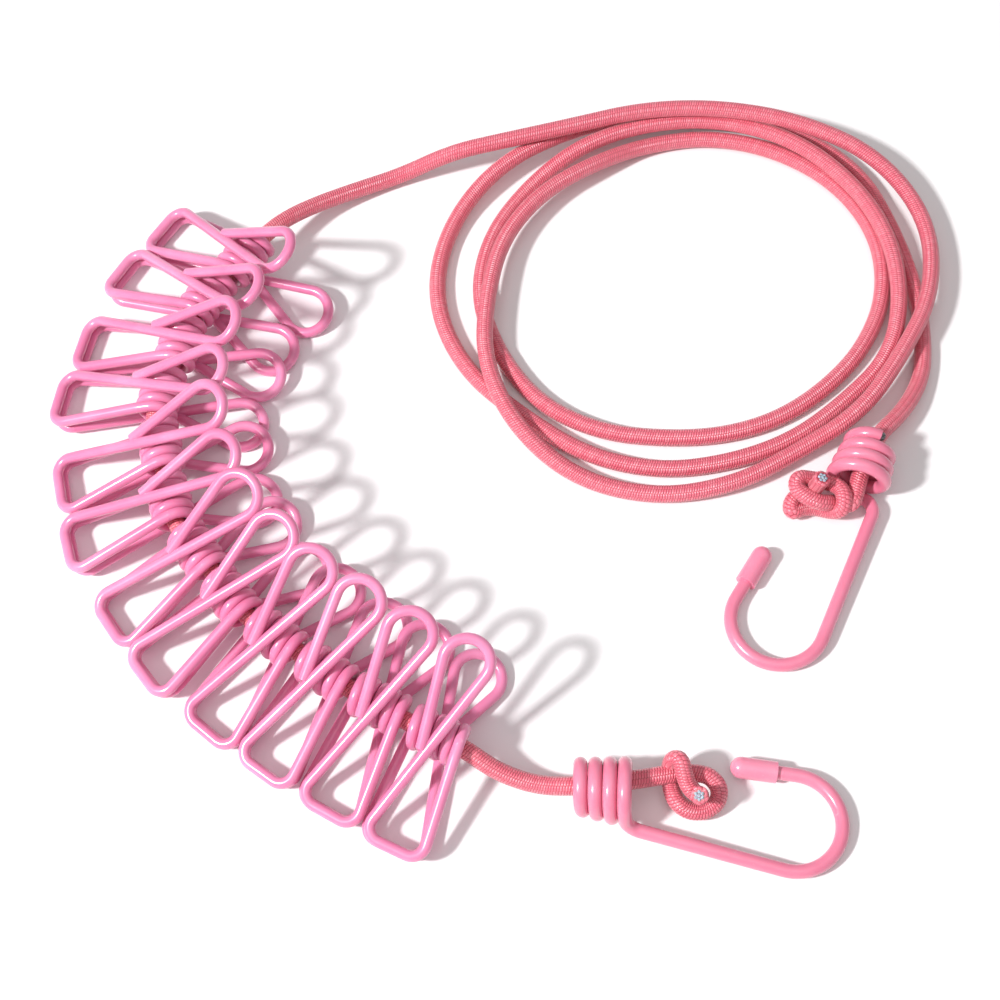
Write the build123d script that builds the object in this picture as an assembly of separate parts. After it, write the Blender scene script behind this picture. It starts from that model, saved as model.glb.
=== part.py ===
from build123d import *
import os
from math import asin, atan2, cos, degrees, hypot, pi, radians, sin, tan

# Stretch travel clothesline lying loosely coiled on a flat surface.  Millimetres, +Z up.
# The origin is under the middle of the pegs and hooks, on the surface.

os.makedirs("parts", exist_ok=True)

# ---- Driving dimensions -------------------------------------------------------------
ROPE_D = 5.0            # braided elastic rope
CORE_D = 3.3            # bundle of rubber strands inside the braid
PEG_WIRE_D = 3.1        # plastic-coated spring wire of a peg
COIL_R = 4.75           # spring coil of a peg, radius to the middle of the wire
COIL_TURNS = 4.5
COIL_PITCH = 3.2
JAW_REACH = 31.5        # coil axis to the middle of the jaw bar
JAW_INNER = 7.0         # jaw bar ends, either side of the middle of the coil
JAW_OUTER = 10.7
JAW_BEND_R = 4.0
UPPER_RISE = 16.3       # angle between an arm and the middle plane of the peg, degrees
LOWER_RISE = 16.7
ARM_SKEW = 0.27         # sideways fall of each arm's plane
GRIP_Y = 19.9           # middle of the round finger grip
UPPER_GRIP_R = 6.2
LOWER_GRIP_R = 6.8
COIL_CUT_BACK = 48.0    # the last part of the coil that opens with the sprung leg, degrees

HOOK_WIRE_D = 3.8       # coated steel wire of a hook
STEEL_D = 2.8           # bare steel inside the coating
WIND_PITCH = 3.95
WIND_R = 5.9            # winding round the rope, radius to the middle of the wire
WIND_GROWTH = 0.5       # radius gained each turn, towards the knot
EXIT_BEND_R = 5.0       # bend from the winding into the shank
SHANK_1_L = 42.4        # the two hooks are bent by hand and differ a little
SHANK_2_L = 45.6
HOOK_BEND_R = 13.2
HOOK_TURN = 187.5       # the hook closes in a little past a half turn, degrees
RETURN_L = 15.8         # straight end of the hook, with its cap
CAP_D = 5.9
CAP_L = 12.5

CENTRE = (-9.03, -7.28)  # middle of the pegs and hooks, in layout coordinates

BASE = (Align.CENTER, Align.CENTER, Align.MIN)
wire_r = PEG_WIRE_D / 2
nodes = {}


def at(x, y, z):
    """A point given in layout coordinates, in the part's own frame."""
    return Vector(x - CENTRE[0], y - CENTRE[1], z)


# ---- Rope ---------------------------------------------------------------------------
# Route of the rope: knot, hook, twelve pegs, the loose coil, hook, knot.
PEG_ROUTE = [
    (46.0, -85.6, 8.2),
    (34.5, -88.4, 10.2),
    (19.5, -89.4, 8.6),
    (9.5, -88.3, 6.4),
    (-1.0, -85.3, 8.9),
    (-10.4, -79.6, 12.8),
    (-26.4, -71.9, 12.5),
    (-41.3, -62.9, 12.5),
    (-55.1, -52.2, 12.3),
    (-70.2, -42.2, 12.7),
    (-79.9, -27.7, 12.5),
    (-92.3, -12.9, 12.2),
    (-95.4, 3.5, 12.3),
    (-100.4, 21.0, 13.2),
    (-96.6, 35.8, 11.8),
    (-92.1, 54.2, 13.3),
    (-83.7, 67.1, 11.6),
    (-73.3, 81.3, 12.5),
    (-66.5, 90.0, 11.0),
    (-57.0, 98.5, 7.4),
    (-45.0, 106.0, 4.5),
    (-31.0, 113.0, 2.9),
    (-15.0, 120.0, 2.6),
    (1.0, 125.5, 2.6),
]
TAIL_ROUTE = [
    (126.8, 47.0, 2.6),
    (124.0, 36.5, 3.2),
    (117.5, 25.5, 6.2),
    (108.4, 16.0, 8.6),
    (102.2, 2.4, 9.4),
    (95.0, -3.4, 8.0),
    (90.0, -4.0, 7.4),
]
# Outline of the loose coil, taken round the outside and the inside of its turns.
COIL_H = 7.0
COIL_OUTSIDE = [
    (136, 68), (135, 96), (121, 121), (96, 136), (70, 144), (44, 141), (18, 134), (-5, 121),
    (-18, 96), (-23, 68), (-15, 41), (2, 22), (20, 5), (45, -2), (68, 5), (88, 14), (111, 24), (127, 43),
]
COIL_INSIDE = [
    (113, 68), (114, 88), (104, 107), (87, 119), (67, 124), (47, 122), (30, 114), (16, 103),
    (3, 88), (-1, 68), (4, 49), (15, 33), (32, 26), (49, 23), (65, 23), (80, 28), (93, 38), (106, 50),
]


def rope_tube(route):
    """Straight runs joined by arcs as large as the runs allow."""
    pts = [at(*p) for p in route]
    radii = []
    for a, b, c in zip(pts[:-2], pts[1:-1], pts[2:]):
        turn = (b - a).get_angle(c - b)
        radii.append(0.45 * min((b - a).length, (c - b).length) / tan(radians(turn / 2)))
    print("radii", [round(r) for r in radii])
    path = FilletPolyline(*pts, radius=radii)
    tube = sweep(Plane(origin=path @ 0, z_dir=path % 0) * Circle(ROPE_D / 2), path=path)
    print("length", round(path.length, 1), "volume error",
          round(tube.volume / (pi * ROPE_D**2 / 4 * path.length) - 1, 4))
    return tube


def coil_outline(points):
    return make_face(Spline(*[at(x, y, 0) for x, y in points], periodic=True))


def knot(middle, radius, stub_from, stub_to, rope):
    """A knot as one bead, with the cut end of the rope standing out and a socket where it enters."""
    bead = Location(at(*middle)) * Sphere(radius)
    a = at(*stub_from)
    b = at(*stub_to)
    along = (b - a).normalized()
    stub = Plane(origin=a, z_dir=along) * Cylinder(ROPE_D / 2, (b - a).length, align=BASE)
    core = Plane(origin=b, z_dir=along) * Cylinder(CORE_D / 2, 0.8, align=BASE)
    return (bead + stub) - rope, core


peg_run = rope_tube(PEG_ROUTE)
tail_run = rope_tube(TAIL_ROUTE)
loose = extrude(coil_outline(COIL_OUTSIDE) - coil_outline(COIL_INSIDE), COIL_H)
nodes["rope_peg_run"] = peg_run
nodes["rope_tail_run"] = tail_run
nodes["rope_coil"] = loose - peg_run - tail_run
nodes["knot_1"], nodes["knot_1_rubber_core"] = knot(
    (51.4, -88.3, 8.1), 8.0, (51.4, -89.5, 9.0), (51.4, -94.0, 15.2), peg_run)
nodes["knot_2"], nodes["knot_2_rubber_core"] = knot(
    (88.6, -2.8, 7.1), 6.8, (88.6, -2.6, 7.4), (88.4, -1.8, 14.6), tail_run)

# ---- Pegs ---------------------------------------------------------------------------
# Each peg is threaded on the rope by its coil, which lies along local X.  Jaws are at -Y,
# finger grips at +Y.


def wire(path, radius, frenet=False):
    return sweep(Plane(origin=path @ 0, z_dir=path % 0) * Circle(radius), path=path, is_frenet=frenet)


def tangent_angle(px, py, cx, cy, radius, side):
    """Angle round a circle at which a line from a point touches it."""
    dx = px - cx
    dy = py - cy
    return atan2(dy, dx) + side * (pi / 2 - asin(radius / hypot(dx, dy)))


def peg_coil():
    turns = COIL_TURNS - COIL_CUT_BACK / 360
    helix = Helix(pitch=COIL_PITCH, height=COIL_PITCH * turns, radius=COIL_R)
    start = Plane(origin=(-COIL_PITCH * COIL_TURNS / 2, 0, 0), x_dir=(0, 0, -1), z_dir=(1, 0, 0))
    return start * wire(helix, wire_r, frenet=True)


def peg_arm(jaw_left, jaw_right, grip_x, grip_r, end_x, arm_rise):
    """Sprung leg, jaw bar, crossing over the coil, finger grip and free end, in one wire."""
    x_end = COIL_PITCH * COIL_TURNS / 2
    along = Vector(COIL_PITCH / (2 * pi), -COIL_R, 0).normalized()
    z_jaw = wire_r + 0.1
    rise = tan(radians(arm_rise))

    def lift(x, y):
        return Vector(x, y, z_jaw + (y + JAW_REACH) * rise - (x + jaw_left) * ARM_SKEW)

    leg = Vector(x_end, 0, COIL_R)
    right = Vector(jaw_right, -JAW_REACH, z_jaw)
    left = Vector(-jaw_left, -JAW_REACH, z_jaw)
    flat = Plane(origin=left, x_dir=lift(1, 0) - lift(0, 0),
                 z_dir=(lift(1, 0) - lift(0, 0)).cross(lift(0, 1) - lift(0, 0)))
    middle = flat.to_local_coords(lift(grip_x, GRIP_Y))
    end = flat.to_local_coords(lift(end_x, -5.0))
    a0 = tangent_angle(0, 0, middle.X, middle.Y, grip_r, +1)
    a1 = tangent_angle(end.X, end.Y, middle.X, middle.Y, grip_r, -1)
    while a1 < a0:
        a1 += 2 * pi

    def round_grip(a):
        return flat.from_local_coords(Vector(middle.X + grip_r * cos(a), middle.Y + grip_r * sin(a), 0))

    touch = round_grip(a0)
    path = FilletPolyline(leg, leg + along * 3, right, left, touch, radius=[12, JAW_BEND_R, JAW_BEND_R])
    grip = ThreePointArc(touch, round_grip((a0 + a1) / 2), round_grip(a1))
    tail = Line(round_grip(a1), flat.from_local_coords(end))
    return wire(Wire([*path.edges(), grip, tail]), wire_r)


coil = peg_coil()
upper_arm = peg_arm(JAW_INNER, JAW_OUTER, 1.5, UPPER_GRIP_R, -1.0, UPPER_RISE)
lower_arm = Rot(0, 180, 0) * peg_arm(JAW_OUTER, JAW_INNER, -1.2, LOWER_GRIP_R, 1.0, LOWER_RISE)

# Where each peg lies: middle of its coil, then the turn of its axis, its tip and its roll.
# The grips are nested: those of the odd pegs lie a little higher, so that an even peg opens with
# its upper arm and an odd peg with its lower arm, and the coil is cut back at the arm that opens.
PEGS = [
    (-77.2, 75.6, 12.2, 236.4, 15.4, 1.6),
    (-87.3, 61.4, 12.3, 240.8, 14.2, -1.6),
    (-94.0, 45.2, 12.6, 258.3, 16.5, -0.1),
    (-98.3, 28.1, 12.1, 262.9, 14.1, -3.6),
    (-96.9, 10.3, 12.9, 283.7, 16.5, -1.0),
    (-93.0, -6.8, 12.2, 288.2, 13.8, -4.2),
    (-84.4, -22.2, 12.4, 304.8, 16.7, 0.0),
    (-74.1, -36.4, 12.5, 308.5, 13.5, -3.0),
    (-61.4, -47.9, 12.4, 320.1, 16.3, 0.4),
    (-47.2, -58.3, 12.3, 324.3, 14.3, -2.7),
    (-32.7, -67.7, 12.5, 330.4, 16.3, 1.4),
    (-16.9, -76.7, 12.7, 334.4, 14.5, 0.6),
]

for number, (x, y, z, turn, tip, roll) in enumerate(PEGS, 1):
    place = Location(at(x, y, z)) * Rot(0, 0, turn) * Rot(tip, 0, 0) * Rot(0, roll, 0)
    nodes[f"peg_{number:02d}_lower_arm"] = place * lower_arm
    nodes[f"peg_{number:02d}_coil"] = place * (coil if number % 2 == 0 else Rot(0, 180, 0) * coil)
    nodes[f"peg_{number:02d}_upper_arm"] = place * upper_arm

# ---- Hooks --------------------------------------------------------------------------
# The wire winds round the rope from the rope side (local origin) towards the knot (+X), leaves
# the winding as the shank, turns back on itself and ends in a plastic cap.  Angles round the
# winding are taken clockwise from the top, looking along +X.


def hook(start, turns, side, shank_length, shank_yaw, shank_fall):
    height = WIND_PITCH * turns
    cone = degrees(atan2(WIND_GROWTH, WIND_PITCH))
    helix = Helix(pitch=WIND_PITCH, height=height, radius=WIND_R, cone_angle=cone)
    s = radians(start)
    axes = Plane(origin=(-0.5, 0, 0), x_dir=(0, -sin(s), cos(s)), z_dir=(1, 0, 0))
    winding = axes * wire(helix, HOOK_WIRE_D / 2, frenet=True)
    helix = axes * helix
    leave = helix @ 1
    along = helix % 1
    yaw = radians(shank_yaw)
    fall = radians(shank_fall)
    shank = Vector(cos(fall) * cos(yaw), cos(fall) * sin(yaw), -sin(fall))
    inward = Vector(-sin(yaw), cos(yaw), 0) * -side
    corner = leave + along * 5.2
    turn_start = corner + shank * shank_length
    centre = turn_start + inward * HOOK_BEND_R

    def bend(angle):
        a = radians(angle)
        return centre - inward * (HOOK_BEND_R * cos(a)) + shank * (HOOK_BEND_R * sin(a))

    back = shank * cos(radians(HOOK_TURN)) + inward * sin(radians(HOOK_TURN))
    tip = bend(HOOK_TURN) + back * RETURN_L
    first = FilletPolyline(leave, corner, turn_start, radius=EXIT_BEND_R)
    stem = wire(Wire([*first.edges(), ThreePointArc(turn_start, bend(HOOK_TURN / 2), bend(HOOK_TURN)),
                      Line(bend(HOOK_TURN), tip)]), HOOK_WIRE_D / 2)
    end = helix @ 0
    steel = Plane(origin=end, z_dir=(helix % 0) * -1) * Cylinder(STEEL_D / 2, 0.5, align=BASE)
    inner = Plane(origin=tip - back * (CAP_L - 2.0), z_dir=back)
    cap = inner * Cylinder(CAP_D / 2, CAP_L - CAP_D / 2, align=BASE)
    cap += Location(tip - back * (CAP_L - 2.0) + back * (CAP_L - CAP_D / 2)) * Sphere(CAP_D / 2)
    cap -= inner * Cylinder(HOOK_WIRE_D / 2, CAP_L - 2.0, align=BASE)
    seat = centre + (bend(HOOK_TURN / 2) - centre) * (1 - HOOK_WIRE_D / 2 / HOOK_BEND_R)
    return winding + stem, steel, cap, centre, seat


HOOKS = {
    "hook_1": (hook(-80, 3.42, -1, SHANK_1_L, -6.4, 7.0), (21.0, -89.3, 8.5), -8.4, -4.0),
    "hook_2": (hook(-15, 3.56, +1, SHANK_2_L, -2.3, 1.2), (106.6, 12.8, 9.7), -111.7, 0.0),
}
for name, ((body, steel, cap, centre, seat), origin, turn, tilt) in HOOKS.items():
    place = Location(at(*origin)) * Rot(0, 0, turn) * Rot(0, tilt, 0)
    nodes[f"{name}_wire"] = place * body
    nodes[f"{name}_steel_end"] = place * steel
    nodes[f"{name}_cap"] = place * cap
    frame = Plane(place)
    print(name, "axis", frame.x_dir, "from", frame.origin, "bend", frame.from_local_coords(centre),
          "seat", frame.from_local_coords(seat))

own = [solid.bounding_box() for name, solid in nodes.items() if name.startswith(("peg", "hook"))]
low = [min(getattr(box.min, c) for box in own) for c in "XYZ"]
high = [max(getattr(box.max, c) for box in own) for c in "XYZ"]
print("pegs and hooks", [round(v, 2) for v in low], [round(v, 2) for v in high])

# ---- Write --------------------------------------------------------------------------
for name, solid in nodes.items():
    solid = solid.solid() if len(solid.solids()) == 1 else solid
    export_step(solid, f"parts/{name}.step")
    print(name, len(solid.solids()), solid.is_valid, round(solid.volume, 1))
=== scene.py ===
import math

import bmesh
import bpy
import numpy as np
from mathutils import Matrix, Vector


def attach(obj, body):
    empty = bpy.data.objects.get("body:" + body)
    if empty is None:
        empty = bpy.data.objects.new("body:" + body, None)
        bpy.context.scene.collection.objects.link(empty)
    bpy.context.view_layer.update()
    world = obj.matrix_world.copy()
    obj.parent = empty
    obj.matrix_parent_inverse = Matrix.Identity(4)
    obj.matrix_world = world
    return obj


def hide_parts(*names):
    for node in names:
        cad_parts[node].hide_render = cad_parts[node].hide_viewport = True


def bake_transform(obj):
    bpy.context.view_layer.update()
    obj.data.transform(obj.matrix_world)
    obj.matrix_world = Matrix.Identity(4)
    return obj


# Stretch travel clothesline: a braided elastic rope with sprung wire pegs threaded on it and a
# wire hook held on each end by a knot, lying loosely coiled.  Points are written in the layout's
# millimetres, and at() turns them into the CAD frame's metres.

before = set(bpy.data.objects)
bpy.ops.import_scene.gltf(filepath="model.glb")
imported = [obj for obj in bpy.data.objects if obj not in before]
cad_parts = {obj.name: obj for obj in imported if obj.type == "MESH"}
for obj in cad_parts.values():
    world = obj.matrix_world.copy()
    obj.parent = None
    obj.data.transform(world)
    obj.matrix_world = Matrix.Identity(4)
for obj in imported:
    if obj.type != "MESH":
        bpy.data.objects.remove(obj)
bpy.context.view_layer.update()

MM = 0.001
ROPE_D = 5.0                # mm
CENTRE = (-9.03, -7.28)     # layout coordinates of the frame's origin, mm


def at(x, y, z):
    """A layout point in millimetres, in the frame in metres."""
    return Vector(((x - CENTRE[0]) * MM, (y - CENTRE[1]) * MM, z * MM))


# ---- Camera -------------------------------------------------------------------------
AIM = at(0, 0, 0)
EYE = at(0, -255.9, 502.2)
LENS = 70.2                 # on a sensor 36 mm wide
SENSOR = 36.0
camera = bpy.data.objects.new("camera", bpy.data.cameras.new("camera"))
bpy.context.scene.collection.objects.link(camera)
camera.location = EYE
camera.rotation_euler = (AIM - EYE).to_track_quat("-Z", "Y").to_euler()
camera.data.lens = LENS
camera.data.sensor_width = SENSOR
camera.data.clip_start = 0.01
bpy.context.scene.camera = camera
bpy.context.view_layer.update()

# ---- Rope route ---------------------------------------------------------------------
# The rope's route is one spline, and these are its control points, mm: from knot 1 through hook 1
# and the twelve pegs, round the loose coil, and through hook 2 to knot 2.
PEG_ROUTE = [
    (46.0, -85.6, 8.2),
    (34.5, -88.4, 10.2),
    (19.5, -89.4, 8.6),
    (9.5, -88.3, 6.4),
    (-1.0, -85.3, 8.9),
    (-10.4, -79.6, 12.8),
    (-26.4, -71.9, 12.5),
    (-41.3, -62.9, 12.5),
    (-55.1, -52.2, 12.3),
    (-70.2, -42.2, 12.7),
    (-79.9, -27.7, 12.5),
    (-92.3, -12.9, 12.2),
    (-95.4, 3.5, 12.3),
    (-100.4, 21.0, 13.2),
    (-96.6, 35.8, 11.8),
    (-92.1, 54.2, 13.3),
    (-83.7, 67.1, 11.6),
    (-73.3, 81.3, 12.5),
    (-66.5, 90.0, 11.0),
    (-57.0, 98.5, 7.4),
    (-45.0, 106.0, 4.5),
    (-31.0, 113.0, 2.9),
    (-15.0, 120.0, 2.6),
    (1.0, 124.0, 2.6),
]
TAIL_ROUTE = [
    (126.8, 47.0, 2.6),
    (124.0, 36.5, 3.2),
    (117.5, 25.5, 6.2),
    (108.4, 16.0, 8.6),
    (102.2, 2.4, 9.4),
    (101.2, -2.6, 7.8),
]
# The loose coil runs clockwise.  Each turn has its layer in the pile, 0 at the bottom, and its
# radii at equal steps round the coil's middle, mm.
COIL_MIDDLE = (57.0, 68.0)
COIL_START = -120           # degrees, clockwise
COIL_STEP = 20
COIL_TURNS = [
    (3, [71, 69.4, 70.2, 73.8, 79, 80, 73, 65, 63, 60.5, 64.5, 69.8, 71.8, 69.5, 66, 61, 60, 58]),
    (1, [56, 58, 61, 63, 64.5, 63.8, 60, 55, 51, 49.5, 49, 50, 54.5, 59, 61, 64, 64, 63]),
    (2, [64, 65, 67, 68, 67, 66, 64, 63, 58, 57.5, 58, 61, 63.5, 65.5, 73, 77.6, 77.4, 75]),
    (0, [71, 70, 71, 72, 73, 69, 70]),
]
FLOOR_Z = 2.6               # middle of a rope that lies on the floor, mm
LEAN = 0.5                  # a run that lies on others lies this much nearer the front, mm per mm
RUN_STEPS = 8               # places along a run where its height over the others is worked out
SETTLING_ROUNDS = 4
SHARED = 3                  # last points of the peg route, which lie in the pile too, on top
SPLINE_RESOLUTION = 12      # points that a spline gives for each of its control points


def coil_points():
    """Points of the loose coil, and the layer of the run that starts at each."""
    points = []
    layers = []
    step = 0
    for layer, radii in COIL_TURNS:
        for radius in radii:
            a = -math.radians(COIL_START + COIL_STEP * step)
            x = COIL_MIDDLE[0] + radius * math.cos(a)
            y = COIL_MIDDLE[1] + radius * math.sin(a)
            points.append([x, y, FLOOR_Z])
            layers.append(layer)
            step += 1
    return points, layers


def height_over(p, a, b):
    """Height that a rope at p needs to lie on the run from a to b, or 0 if it is beside it."""
    p2 = Vector(p[:2])
    a2 = Vector(a[:2])
    run = Vector(b[:2]) - a2
    t = min(1.0, max(0.0, (p2 - a2).dot(run) / run.length_squared))
    beside = (p2 - a2 - run * t).length
    if beside >= ROPE_D:
        return 0.0
    return a[2] + (b[2] - a[2]) * t + math.sqrt(ROPE_D**2 - beside**2)


def lay_over(points, layers):
    """Lifts each run over the runs that lie under it; both its ends rise, so a crossing is a hump."""
    runs = range(len(points) - 1)
    for layer in sorted(set(layers)):
        for i in runs:
            if layers[i] != layer:
                continue
            a = points[i]
            b = points[i + 1]
            need = 0.0
            for k in range(RUN_STEPS + 1):
                p = [a[c] + (b[c] - a[c]) * k / RUN_STEPS for c in range(3)]
                for j in runs:
                    if layers[j] < layer:
                        need = max(need, height_over(p, points[j], points[j + 1]))
            a[2] = max(a[2], need)
            b[2] = max(b[2], need)


coil, coil_layers = coil_points()
laid = [list(p) for p in PEG_ROUTE[-SHARED:]] + coil
pile = [list(p) for p in laid]
pile_layers = [max(coil_layers)] * SHARED + coil_layers
for _ in range(SETTLING_ROUNDS):
    for point, place in zip(pile, laid):
        point[1] = place[1] - LEAN * (point[2] - FLOOR_Z)
        point[2] = place[2]
    lay_over(pile, pile_layers)
route = PEG_ROUTE[:-SHARED] + [tuple(p) for p in pile] + TAIL_ROUTE


def spline_points(name, control):
    """Points, in the frame, along the NURBS spline whose control points are given in the layout."""
    curve = bpy.data.curves.new(name, "CURVE")
    curve.dimensions = "3D"
    curve.resolution_u = SPLINE_RESOLUTION
    line = curve.splines.new("NURBS")
    line.points.add(len(control) - 1)
    for point, place in zip(line.points, control):
        point.co = (*at(*place), 1.0)
    line.order_u = 3
    line.use_endpoint_u = True
    holder = bpy.data.objects.new(name, curve)
    mesh = bpy.data.meshes.new_from_object(holder)
    points = np.array([v.co for v in mesh.vertices], float).reshape(-1, 3)
    bpy.data.objects.remove(holder)
    bpy.data.curves.remove(curve)
    bpy.data.meshes.remove(mesh)
    return points


def evenly(points, spacing):
    """The same line with its points about a fixed distance apart, and the line's length."""
    steps = np.linalg.norm(np.diff(points, axis=0), axis=1)
    along = np.concatenate([[0.0], np.cumsum(steps)])
    count = max(4, int(round(along[-1] / spacing)) + 1)
    wanted = np.linspace(0.0, along[-1], count)
    return np.column_stack([np.interp(wanted, along, points[:, c]) for c in range(3)]), along[-1]


def add_object(name, data):
    """A new object of the scene that holds the mesh or lamp given."""
    obj = bpy.data.objects.new(name, data)
    bpy.context.scene.collection.objects.link(obj)
    return obj


def tube(name, line, radius_at, around, uv_scale=(1.0, 1.0), pattern=None):
    """A closed tube along a line.  radius_at gives the radius at a share of the line; pattern adds
    a height at a ring and a spoke; the UV layer counts rings and spokes times uv_scale."""
    n = len(line)
    tangent = np.gradient(line, axis=0)
    tangent /= np.linalg.norm(tangent, axis=1)[:, None]
    side = np.cross(tangent[0], [0.0, 0.0, 1.0])
    if np.linalg.norm(side) < 1e-3:
        side = np.cross(tangent[0], [0.0, 1.0, 0.0])
    side /= np.linalg.norm(side)
    sides = []
    for t in tangent:
        side = side - t * side.dot(t)
        side /= np.linalg.norm(side)
        sides.append(side)
    sides = np.array(sides)
    ups = np.cross(tangent, sides)
    spokes = np.arange(around)
    angle = 2 * math.pi * spokes / around
    rings = np.arange(n)
    radius = np.array([radius_at(i / (n - 1)) for i in rings])[:, None] * np.ones((1, around))
    if pattern is not None:
        radius = radius + pattern(rings[:, None], spokes[None, :])
    outward = (np.cos(angle)[None, :, None] * sides[:, None, :]
               + np.sin(angle)[None, :, None] * ups[:, None, :])
    vertices = (line[:, None, :] + radius[:, :, None] * outward).reshape(-1, 3)
    i, j = np.meshgrid(np.arange(n - 1), spokes, indexing="ij")
    k = (j + 1) % around
    quads = np.stack([i * around + j, i * around + k, (i + 1) * around + k, (i + 1) * around + j], -1)
    quads = quads.reshape(-1, 4)
    first_cap = list(range(around - 1, -1, -1))
    last_cap = [(n - 1) * around + s for s in range(around)]
    mesh = bpy.data.meshes.new(name)
    mesh.from_pydata(vertices.tolist(), [], quads.tolist() + [first_cap, last_cap])
    uv = mesh.uv_layers.new(name="weave")
    u = np.stack([i, i, i + 1, i + 1], -1).reshape(-1, 4) * uv_scale[0]
    v = np.stack([j, j + 1, j + 1, j], -1).reshape(-1, 4) * uv_scale[1]
    flat = np.stack([u, v], -1).reshape(-1, 2)
    caps = np.zeros((2 * around, 2))
    uv.data.foreach_set("uv", np.concatenate([flat, caps]).astype(np.float32).ravel())
    mesh.polygons.foreach_set("use_smooth", [True] * len(quads) + [False, False])
    mesh.update()
    return add_object(name, mesh)


# ---- Materials ----------------------------------------------------------------------
# Colours are linear RGB.
SCUFF = (1.0, 0.72, 0.80)
# Painted shade for the grooves between the braid's ribs.
BRAID_GROOVE_SHADE = (0.46, 0.045, 0.075)
BRAID_BODY = (0.82, 0.15, 0.215)
# Painted glints on a random share of the braid's ribs.
BRAID_GLINT = (0.94, 0.34, 0.40)
BRAID_WARM = (0.88, 0.19, 0.26)
BRAID_SHEEN = (1.0, 0.72, 0.76)
VINYL_SPREAD = (1.0, 0.35, 0.4)
STEEL_DARK = (0.10, 0.10, 0.11)
STEEL_LIGHT = (0.42, 0.42, 0.44)
# Painted shade for the seams of the rubber core.
RUBBER_SEAM_SHADE = (0.36, 0.36, 0.42)
RUBBER = (0.48, 0.60, 0.70)


class Nodes:
    """A short way to build a material's nodes.  A value is a number, a colour or another node's
    output."""

    def __init__(self, name):
        self.material = bpy.data.materials.new(name)
        self.material.use_nodes = True
        self.tree = self.material.node_tree
        self.shader = self.tree.nodes["Principled BSDF"]

    def add(self, kind, **settings):
        node = self.tree.nodes.new(kind)
        for key, value in settings.items():
            setattr(node, key, value)
        return node

    def link(self, source, target):
        self.tree.links.new(source, target)

    def math(self, operation, a, b=None):
        node = self.add("ShaderNodeMath", operation=operation)
        for socket, value in zip(node.inputs, (a, b)):
            if value is None:
                continue
            if isinstance(value, (int, float)):
                socket.default_value = value
            else:
                self.link(value, socket)
        return node.outputs[0]

    def mix(self, factor, a, b):
        """Colour a where the factor is 0 and b where it is 1."""
        node = self.add("ShaderNodeMix", data_type="RGBA")
        for socket, value in ((node.inputs["Factor"], factor), (node.inputs[6], a), (node.inputs[7], b)):
            if isinstance(value, tuple):
                socket.default_value = (*value, 1.0)
            else:
                self.link(value, socket)
        return node.outputs[2]

    def noise(self, scale, detail=2.0, roughness=0.5):
        """Noise over the object, with about scale clouds to the metre."""
        node = self.add("ShaderNodeTexNoise")
        node.inputs["Scale"].default_value = scale
        node.inputs["Detail"].default_value = detail
        node.inputs["Roughness"].default_value = roughness
        self.link(self.add("ShaderNodeTexCoord").outputs["Object"], node.inputs["Vector"])
        return node.outputs["Fac"]

    def ramp(self, factor, low, high):
        """A smooth rise from 0 where the factor is low to 1 where it is high."""
        node = self.add("ShaderNodeMapRange", interpolation_type="SMOOTHSTEP")
        node.inputs["From Min"].default_value = low
        node.inputs["From Max"].default_value = high
        self.link(factor, node.inputs["Value"])
        return node.outputs["Result"]

    def bump(self, height, strength, distance):
        """Relief on the surface; the distance is in metres."""
        node = self.add("ShaderNodeBump")
        node.inputs["Strength"].default_value = strength
        node.inputs["Distance"].default_value = distance
        self.link(height, node.inputs["Height"])
        self.link(node.outputs["Normal"], self.shader.inputs["Normal"])

    def set(self, **values):
        """Numbers on the shader's own sockets, which are named with _ for a space."""
        for key, value in values.items():
            self.shader.inputs[key.replace("_", " ")].default_value = value


def rope_material():
    """Fine braid: ribs across the rope in staggered columns, with painted glints on some ribs and
    painted shade in the grooves between them.
    """
    m = Nodes("braided_elastic")
    uv = m.add("ShaderNodeUVMap", uv_map="weave")
    parts = m.add("ShaderNodeSeparateXYZ")
    m.link(uv.outputs["UV"], parts.inputs[0])
    u = parts.outputs[0]
    v = parts.outputs[1]
    column = m.math("FLOOR", v)
    across = m.math("FRACT", v)
    shifted = m.math("ADD", u, m.math("MULTIPLY", m.math("MODULO", column, 2.0), 0.5))
    slant = m.math("ADD", shifted, m.math("MULTIPLY", m.math("SUBTRACT", across, 0.5), 0.25))
    row = m.math("FLOOR", slant)
    along = m.math("FRACT", slant)
    rib = m.math("MULTIPLY", m.math("SINE", m.math("MULTIPLY", along, math.pi)),
                 m.math("POWER", m.math("SINE", m.math("MULTIPLY", across, math.pi)), 0.5))
    cell = m.add("ShaderNodeCombineXYZ")
    m.link(row, cell.inputs[0])
    m.link(column, cell.inputs[1])
    # Painted glints: a random share of ribs is coloured paler, standing in for highlights on the rib
    # crests.
    pick = m.add("ShaderNodeTexWhiteNoise", noise_dimensions="2D")
    m.link(cell.outputs[0], pick.inputs["Vector"])
    glint = m.ramp(pick.outputs["Value"], 0.35, 1.0)
    strand = m.mix(m.math("MULTIPLY", glint, 0.4), BRAID_BODY, BRAID_GLINT)
    wander = m.noise(120.0, 3.0)
    strand = m.mix(m.math("MULTIPLY", wander, 0.25), strand, BRAID_WARM)
    # Painted shade: the grooves between ribs are coloured darker, where shade falls between them.
    colour = m.mix(m.ramp(rib, 0.0, 0.45), BRAID_GROOVE_SHADE, strand)
    m.link(colour, m.shader.inputs["Base Color"])
    fuzz = m.noise(2600.0, 2.0)
    height = m.math("ADD", rib, m.math("MULTIPLY", fuzz, 0.2))
    m.bump(height, 1.0, 0.0002)
    m.link(m.math("ADD", m.math("MULTIPLY", fuzz, 0.15), 0.27), m.shader.inputs["Roughness"])
    m.set(Sheen_Weight=0.3, Sheen_Roughness=0.4, Specular_IOR_Level=0.8)
    m.shader.inputs["Sheen Tint"].default_value = (*BRAID_SHEEN, 1.0)
    return m.material


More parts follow.
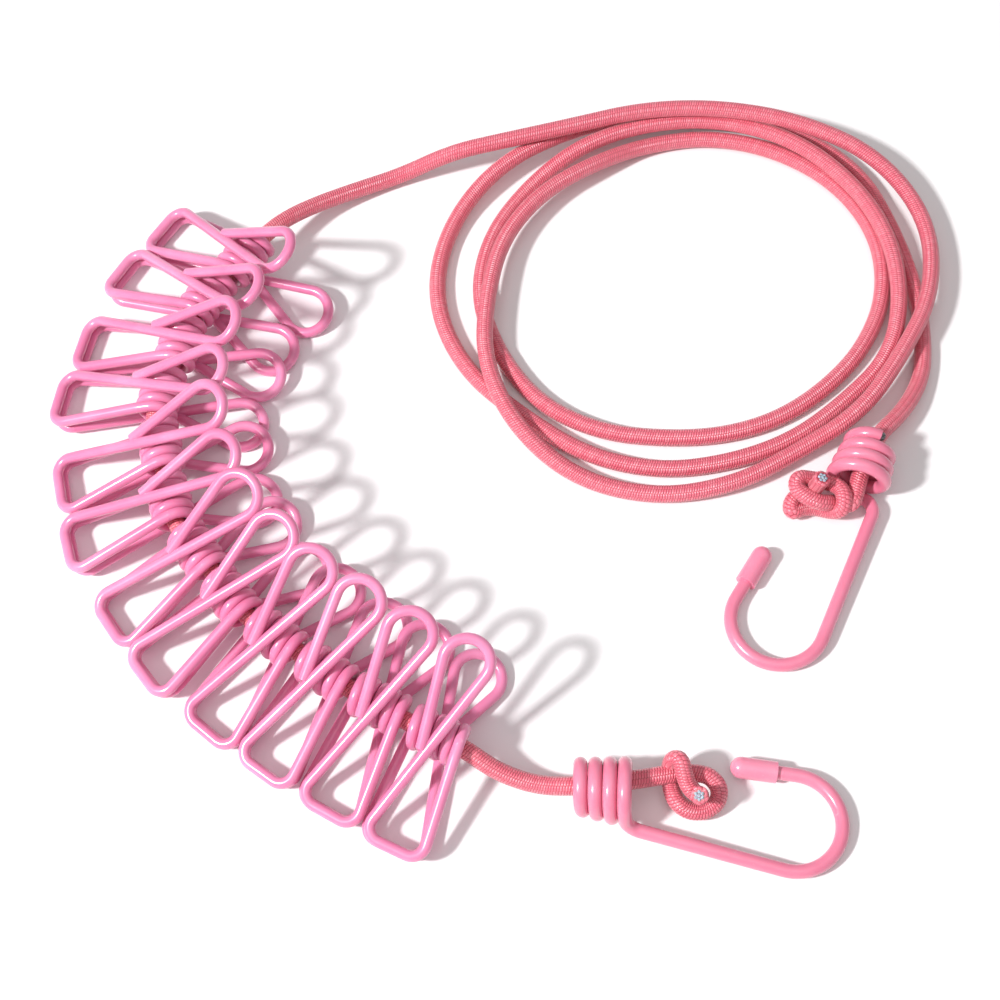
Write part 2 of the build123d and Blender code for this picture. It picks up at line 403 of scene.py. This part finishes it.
def coating_material(name, colour, pale, rough, spread):
    """Glossy soft vinyl: faint clouds of colour, a slight ripple from dipping, scuffs that dull it.
    rough is its roughness where it isn't scuffed, and spread how far light soaks in."""
    m = Nodes(name)
    cloud = m.noise(45.0, 3.0, 0.6)
    tone = m.mix(m.ramp(cloud, 0.35, 0.75), colour, pale)
    scuff = m.ramp(m.noise(420.0, 6.0, 0.7), 0.62, 0.78)
    m.link(m.mix(m.math("MULTIPLY", scuff, 0.25), tone, SCUFF), m.shader.inputs["Base Color"])
    ripple = m.noise(260.0, 2.0)
    m.bump(m.math("ADD", ripple, m.math("MULTIPLY", m.noise(2400.0, 2.0), 0.12)), 0.25, 0.00025)
    m.link(m.math("ADD", m.math("MULTIPLY", scuff, 0.22), rough), m.shader.inputs["Roughness"])
    m.set(Subsurface_Weight=spread, Subsurface_Scale=0.0015, Coat_Weight=0.5, Coat_Roughness=0.14,
          Specular_IOR_Level=0.5)
    m.shader.inputs["Subsurface Radius"].default_value = VINYL_SPREAD
    return m.material


def steel_material():
    """Steel wire where the cutter went through it, grainy and half dull."""
    m = Nodes("cut_steel")
    grain = m.noise(3000.0, 4.0, 0.7)
    tone = m.mix(m.ramp(grain, 0.4, 0.7), STEEL_DARK, STEEL_LIGHT)
    m.link(tone, m.shader.inputs["Base Color"])
    m.link(m.math("ADD", m.math("MULTIPLY", grain, 0.3), 0.25), m.shader.inputs["Roughness"])
    m.bump(grain, 0.5, 0.00008)
    m.set(Metallic=1.0)
    return m.material


def core_material():
    """Pale rubber of the cut strands, with painted shade in its fine seams."""
    m = Nodes("rubber_strands")
    cells = m.add("ShaderNodeTexVoronoi", feature="DISTANCE_TO_EDGE")
    cells.inputs["Scale"].default_value = 1300.0
    m.link(m.add("ShaderNodeTexCoord").outputs["Object"], cells.inputs["Vector"])
    edge = m.ramp(cells.outputs["Distance"], 0.02, 0.16)
    # Painted shade: the rubber is coloured darker along the seams between its cells.
    m.link(m.mix(edge, RUBBER_SEAM_SHADE, RUBBER), m.shader.inputs["Base Color"])
    m.bump(edge, 0.6, 0.0001)
    m.link(m.math("ADD", m.math("MULTIPLY", edge, -0.15), 0.6), m.shader.inputs["Roughness"])
    m.set(Subsurface_Weight=0.2, Subsurface_Scale=0.0008)
    return m.material


braid = rope_material()
coat = coating_material("coated_wire", colour=(0.735, 0.20, 0.375), pale=(0.81, 0.275, 0.465),
                        rough=0.31, spread=0.15)
hook_coat = coating_material("coated_hook_wire", colour=(0.75, 0.20, 0.31), pale=(0.81, 0.25, 0.37),
                             rough=0.30, spread=0.15)
cap_plastic = coating_material("cap_plastic", colour=(0.82, 0.235, 0.36), pale=(0.87, 0.30, 0.42),
                               rough=0.30, spread=0.2)
steel = steel_material()
rubber = core_material()


def paint(obj, material):
    """Gives a piece or a CAD node one material and no other."""
    obj.data.materials.clear()
    obj.data.materials.append(material)


# ---- Rope and knots -----------------------------------------------------------------
RIB = 0.74                  # spacing of the braid's ribs along the rope, mm
COLUMNS = 10                # columns of ribs round the rope
BRAID_HEIGHT = 0.07         # how far a rib stands above its neighbours, mm


def braid_pattern(ring, spoke):
    """Height of the braid at a ring and a spoke.  Ribs stand out on every second ring, one ring
    further on in the next pair of spokes, and a groove runs along the first spoke of each pair."""
    up = np.sin(math.pi * (ring + (spoke // 2) % 2) + math.pi / 2)
    groove = np.where(spoke % 2 == 0, -0.6, 0.4)
    return (up * 0.5 + groove * 0.5) * BRAID_HEIGHT * MM


def rope_piece(name, control, radius_at):
    """A length of braided rope along a spline, with its line and its length.  A rib is two rings
    long and a column of ribs two spokes wide."""
    line, length = evenly(spline_points(name, control), RIB / 2 * MM)
    piece = tube(name, line, radius_at, COLUMNS * 2, (0.5, 0.5), braid_pattern)
    paint(piece, braid)
    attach(piece, "line")
    return piece, line, length


def rope_radius(share):
    """The rope is as thick all along, whatever the share of its length."""
    return ROPE_D / 2 * MM


rope, rope_line, rope_length = rope_piece("rope", route, rope_radius)
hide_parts("rope_peg_run", "rope_coil", "rope_tail_run")

# A knot's rope goes from the end of the route through the knot's points to its cut end.  They are
# given on a slope that faces up and towards the front, from the knot's middle: across, up the
# slope and out of it, mm.
SLOPE = math.radians(63)
UP = Vector((0, math.sin(SLOPE), math.cos(SLOPE)))
OUT = Vector((0, -math.cos(SLOPE), math.sin(SLOPE)))


def on_slope(middle, point):
    """The layout point of a knot's point."""
    return tuple(Vector(middle) + Vector((point[0], 0, 0)) + UP * point[1] + OUT * point[2])


KNOT_1_MIDDLE = (51.4, -88.3, 8.1)
KNOT_1 = [
    (-2.5, 2.7, -2.0), (1.5, 2.3, -2.0), (4.3, 1.7, -1.6), (6.9, -1.2, -1.4), (6.7, -5.0, -1.6),
    (3.4, -7.8, -1.8), (-1.2, -7.8, -1.6), (-4.8, -5.2, -1.6), (-6.0, -1.2, -3.2), (-6.4, 3.0, -2.4),
    (-5.8, 6.6, 0.4), (-3.8, 6.8, 2.8), (-3.0, 3.2, 3.4), (-2.0, 0.0, 3.2), (0.2, -2.4, 3.2),
    (1.2, -2.2, 5.8), (0.5, -2.0, 8.4),
]
KNOT_2_MIDDLE = (90.4, -1.2, 7.9)
KNOT_2 = [
    (10.0, -3.6, 2.2), (7.8, -4.0, -1.0), (5.0, -3.2, -2.2), (3.2, -3.4, 1.2), (0.0, -3.2, 3.0),
    (-3.7, -1.5, 3.0), (-6.4, 1.0, 2.2), (-5.7, 3.8, 1.2), (-2.4, 3.6, -0.8), (1.2, 3.0, -1.4),
    (4.2, 2.2, 0.6), (6.7, 0.6, 2.2), (7.4, -2.4, 3.4), (6.8, -5.4, 1.8), (4.4, -5.8, -1.6),
    (0.0, -4.6, -2.6), (-4.0, -4.8, -2.4), (-7.2, -6.2, -1.0), (-7.3, -3.2, -1.4), (-4.8, -0.9, -2.6),
    (-1.6, -0.6, -1.8), (-0.9, 0.7, 1.2), (0.0, 2.4, 4.0), (0.6, 3.8, 6.2),
]
KNOT_ROPE_D = 4.7           # the rope is pulled a little thinner in its knots, mm
END_SWELL = 0.1             # how much the rope swells towards its cut end
SWELL_SHARE = 0.03          # share of a knot's rope that swells
EDGE_SHARE = 0.008          # share of a knot's rope that rounds off at the cut
EDGE_LEFT = 0.7             # share of the radius that is left at the cut
STRAND_D = 0.95             # one rubber strand of the rope's core, mm
STRAND_LENGTH = 2.0         # drawn length of a strand, most of it inside the rope
STRAND_SPACING = 1.02       # in strand diameters
STRAND_RIM = 0.14           # rounding of a strand's rim, mm
STRANDS = 7
STRAND_SIDES = 16
STICK_OUT = 0.35            # how far the strands stand out of the cut, mm
STICK_OUT_VARIES = 0.12     # and how much more or less, in a wave from strand to strand
WAVE = 2.4                  # radians of that wave between neighbours
RIM_ROUNDS = 3              # faces across a rounded rim


def knot_radius(share):
    """Radius along a knot's rope: the cut end swells and its edge rounds off."""
    left = 1.0 - share
    swell = max(0.0, 1.0 - left / SWELL_SHARE)
    edge = min(1.0, left / EDGE_SHARE)
    rounding = EDGE_LEFT + (1.0 - EDGE_LEFT) * math.sqrt(1.0 - (1.0 - edge)**2)
    return KNOT_ROPE_D / 2 * (1.0 + END_SWELL * swell) * rounding * MM


def to_mesh(name, work):
    """The mesh of a bmesh, which is then done with."""
    mesh = bpy.data.meshes.new(name)
    work.to_mesh(mesh)
    work.free()
    return mesh


def rod_mesh(name, place, diameter, end_diameter, length, rim, sides):
    """A round rod along z with its middle at place and its two rims rounded.  Each rod is made by
    itself, because a bevel beside other bevelled rods puts the points in another order each run."""
    work = bmesh.new()
    bmesh.ops.create_cone(work, cap_ends=True, segments=sides, radius1=diameter / 2 * MM,
                          radius2=end_diameter / 2 * MM, depth=length * MM, matrix=place)
    # A rim's edges lie between a cap and the side, whose faces have fewer corners.
    rims = [edge for edge in work.edges if len({len(face.verts) for face in edge.link_faces}) > 1]
    bmesh.ops.bevel(work, geom=rims, offset=rim * MM, segments=RIM_ROUNDS, affect="EDGES")
    mesh = to_mesh(name, work)
    mesh.polygons.foreach_set("use_smooth", [True] * len(mesh.polygons))
    return mesh


def core_strands(name, end, along):
    """The rubber strands of the core where the rope is cut: one in the middle and six round it."""
    work = bmesh.new()
    facing = along.to_track_quat("Z", "Y").to_matrix().to_4x4()
    for strand in range(STRANDS):
        a = 2 * math.pi * strand / (STRANDS - 1)
        out = 0.0 if strand == STRANDS - 1 else STRAND_D * STRAND_SPACING
        stick_out = STICK_OUT + STICK_OUT_VARIES * math.sin(strand * WAVE)
        middle = Vector((out * math.cos(a), out * math.sin(a), stick_out - STRAND_LENGTH / 2)) * MM
        place = Matrix.Translation(end) @ facing @ Matrix.Translation(middle)
        rod = rod_mesh(name, place, STRAND_D, STRAND_D, STRAND_LENGTH, STRAND_RIM, STRAND_SIDES)
        work.from_mesh(rod)
        bpy.data.meshes.remove(rod)
    piece = add_object(name, to_mesh(name, work))
    paint(piece, rubber)
    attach(piece, "line")
    return piece


knots = []
for name, middle, points, start in (
        ("knot_1", KNOT_1_MIDDLE, KNOT_1, PEG_ROUTE[0]),
        ("knot_2", KNOT_2_MIDDLE, KNOT_2, TAIL_ROUTE[-1])):
    control = [start] + [on_slope(middle, p) for p in points]
    piece, line, _ = rope_piece(f"{name}_rope", control, knot_radius)
    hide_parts(name)
    core = core_strands(f"{name}_strands", Vector(line[-1]), Vector(line[-1] - line[-3]))
    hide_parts(f"{name}_rubber_core")
    knots += [piece, core]

# ---- Pegs ---------------------------------------------------------------------------
PEG_WIRE_D = 3.1            # mm
SPRING_R = 4.75             # from the axis of a peg's spring to the middle of its wire, mm
SPRING_TURNS = 4.5
SPRING_PITCH = 3.2
SPRING_STEPS = 32           # points in a turn of the spring
SPRING_SPOKES = 20          # points round its wire
INTO_ARM = 0.3              # how far the spring's ends reach into the arms, mm
END_UNDERSIZE = 0.03        # how much thinner the wire is there, so that it hides in them
# Middle of each peg's spring, mm, then the turn of its axis, its tip and its roll, degrees.
PEGS = [
    (-77.2, 75.6, 12.2, 236.4, 15.4, 1.6),
    (-87.3, 61.4, 12.3, 240.8, 14.2, -1.6),
    (-94.0, 45.2, 12.6, 258.3, 16.5, -0.1),
    (-98.3, 28.1, 12.1, 262.9, 14.1, -3.6),
    (-96.9, 10.3, 12.9, 283.7, 16.5, -1.0),
    (-93.0, -6.8, 12.2, 288.2, 13.8, -4.2),
    (-84.4, -22.2, 12.4, 304.8, 16.7, 0.0),
    (-74.1, -36.4, 12.5, 308.5, 13.5, -3.0),
    (-61.4, -47.9, 12.4, 320.1, 16.3, 0.4),
    (-47.2, -58.3, 12.3, 324.3, 14.3, -2.7),
    (-32.7, -67.7, 12.5, 330.4, 16.3, 1.4),
    (-16.9, -76.7, 12.7, 334.4, 14.5, 0.6),
]
HALF_SPRING = SPRING_PITCH * SPRING_TURNS / 2


def spring_points():
    """Middle of the wire of a peg's spring, from the lower arm's leg to the upper arm's, mm along
    the spring's own axes."""
    points = []
    steps = int(SPRING_TURNS * SPRING_STEPS)
    for i in range(steps + 1):
        a = 2 * math.pi * SPRING_TURNS * i / steps
        x = -HALF_SPRING + SPRING_PITCH * a / (2 * math.pi)
        points.append(Vector((x, SPRING_R * math.sin(a), -SPRING_R * math.cos(a))))
    first = (points[0] - points[1]).normalized() * INTO_ARM
    last = (points[-1] - points[-2]).normalized() * INTO_ARM
    return [points[0] + first] + points + [points[-1] + last]


def wire_radius(share):
    """Radius of a spring's wire, a little less at its two ends."""
    return (PEG_WIRE_D / 2 - (END_UNDERSIZE if share in (0.0, 1.0) else 0.0)) * MM


spring_line = spring_points()
for number, (x, y, z, turn, tip, roll) in enumerate(PEGS, 1):
    place = (Matrix.Translation(at(x, y, z)) @ Matrix.Rotation(math.radians(turn), 4, "Z")
             @ Matrix.Rotation(math.radians(tip), 4, "X") @ Matrix.Rotation(math.radians(roll), 4, "Y"))
    line = np.array([place @ (p * MM) for p in spring_line])
    peg = f"peg_{number:02d}"
    spring = tube(f"{peg}_spring", line, wire_radius, SPRING_SPOKES)
    paint(spring, coat)
    # The lower arm of an odd peg opens, and the upper arm of an even one.
    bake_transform(spring)
    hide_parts(f"{peg}_coil")
    for arm in ("lower_arm", "upper_arm"):
        paint(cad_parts[f"{peg}_{arm}"], coat)

# ---- Hooks --------------------------------------------------------------------------
STUB_D = 2.7                # bare steel at the cut end of a hook's winding, mm
STUB_TAPER = 0.9            # its outer end's diameter as a share of that
STUB_LENGTH = 2.4
STUB_RIM = 0.3
STUB_SIDES = 28
WIRE_NEAR = 5.0             # reach round the cut in which the wire's own points are looked for, mm


def node_points(node):
    """The corners of a CAD node's mesh."""
    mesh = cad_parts[node].data
    points = np.empty(3 * len(mesh.vertices))
    mesh.vertices.foreach_get("co", points)
    return points.reshape(-1, 3)


def steel_stub(name, hook):
    """The cut end of a hook's wire: bare steel standing out of the coat, its rim a little rounded.
    It points the way that the CAD's thin disc faces, away from the wire."""
    disc = node_points(f"{hook}_steel_end")
    middle = (disc.min(axis=0) + disc.max(axis=0)) / 2
    thin = np.linalg.svd(disc - disc.mean(axis=0))[2][2]
    wire = node_points(f"{hook}_wire")
    near = wire[np.linalg.norm(wire - middle, axis=1) < WIRE_NEAR * MM].mean(axis=0)
    out = Vector(thin if (middle - near).dot(thin) > 0 else -thin)
    place = Matrix.Translation(Vector(middle)) @ out.to_track_quat("Z", "Y").to_matrix().to_4x4()
    mesh = rod_mesh(name, place, STUB_D, STUB_D * STUB_TAPER, STUB_LENGTH, STUB_RIM, STUB_SIDES)
    return add_object(name, mesh)


for hook in ("hook_1", "hook_2"):
    paint(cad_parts[f"{hook}_wire"], hook_coat)
    paint(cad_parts[f"{hook}_cap"], cap_plastic)
    stub = steel_stub(f"{hook}_cut_steel", hook)
    paint(stub, steel)
    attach(stub, hook)
    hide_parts(f"{hook}_steel_end")

# ---- Floor and light ----------------------------------------------------------------
FLOOR_REACH = 3             # from the middle of the floor to its sides, metres
FLOOR_COLOUR = (0.90, 0.89, 0.895)
FLOOR_CLOUD = (0.92, 0.91, 0.915)
SKY_COLOUR = (1.0, 0.985, 0.99)
SKY_STRENGTH = 0.4

corners = [(x * FLOOR_REACH, y * FLOOR_REACH, 0) for x, y in ((-1, -1), (1, -1), (1, 1), (-1, 1))]
floor = add_object("floor", bpy.data.meshes.new("floor"))
floor.data.from_pydata(corners, [], [(0, 1, 2, 3)])
pale = Nodes("pale_floor")
tone = pale.mix(pale.noise(3.0), FLOOR_COLOUR, FLOOR_CLOUD)
pale.link(tone, pale.shader.inputs["Base Color"])
pale.set(Roughness=0.7, Specular_IOR_Level=0.2)
paint(floor, pale.material)


def area_light(name, direction, distance, size, power):
    """A square lamp that shines along a direction at the middle of the frame; metres and watts."""
    lamp = bpy.data.lights.new(name, "AREA")
    lamp.size = size
    lamp.energy = power
    obj = add_object(name, lamp)
    way = Vector(direction).normalized()
    obj.location = -way * distance
    obj.rotation_euler = way.to_track_quat("-Z", "Y").to_euler()


area_light("key", direction=(0.84, 0.44, -1.0), distance=1.5, size=0.14, power=26.0)
area_light("top", direction=(0.0, 0.25, -1.0), distance=1.6, size=1.4, power=5.0)
world = bpy.data.worlds.new("studio")
bpy.context.scene.world = world
world.use_nodes = True
sky = world.node_tree.nodes["Background"]
sky.inputs["Color"].default_value = (*SKY_COLOUR, 1.0)
sky.inputs["Strength"].default_value = SKY_STRENGTH
bpy.context.scene.view_settings.view_transform = "Standard"
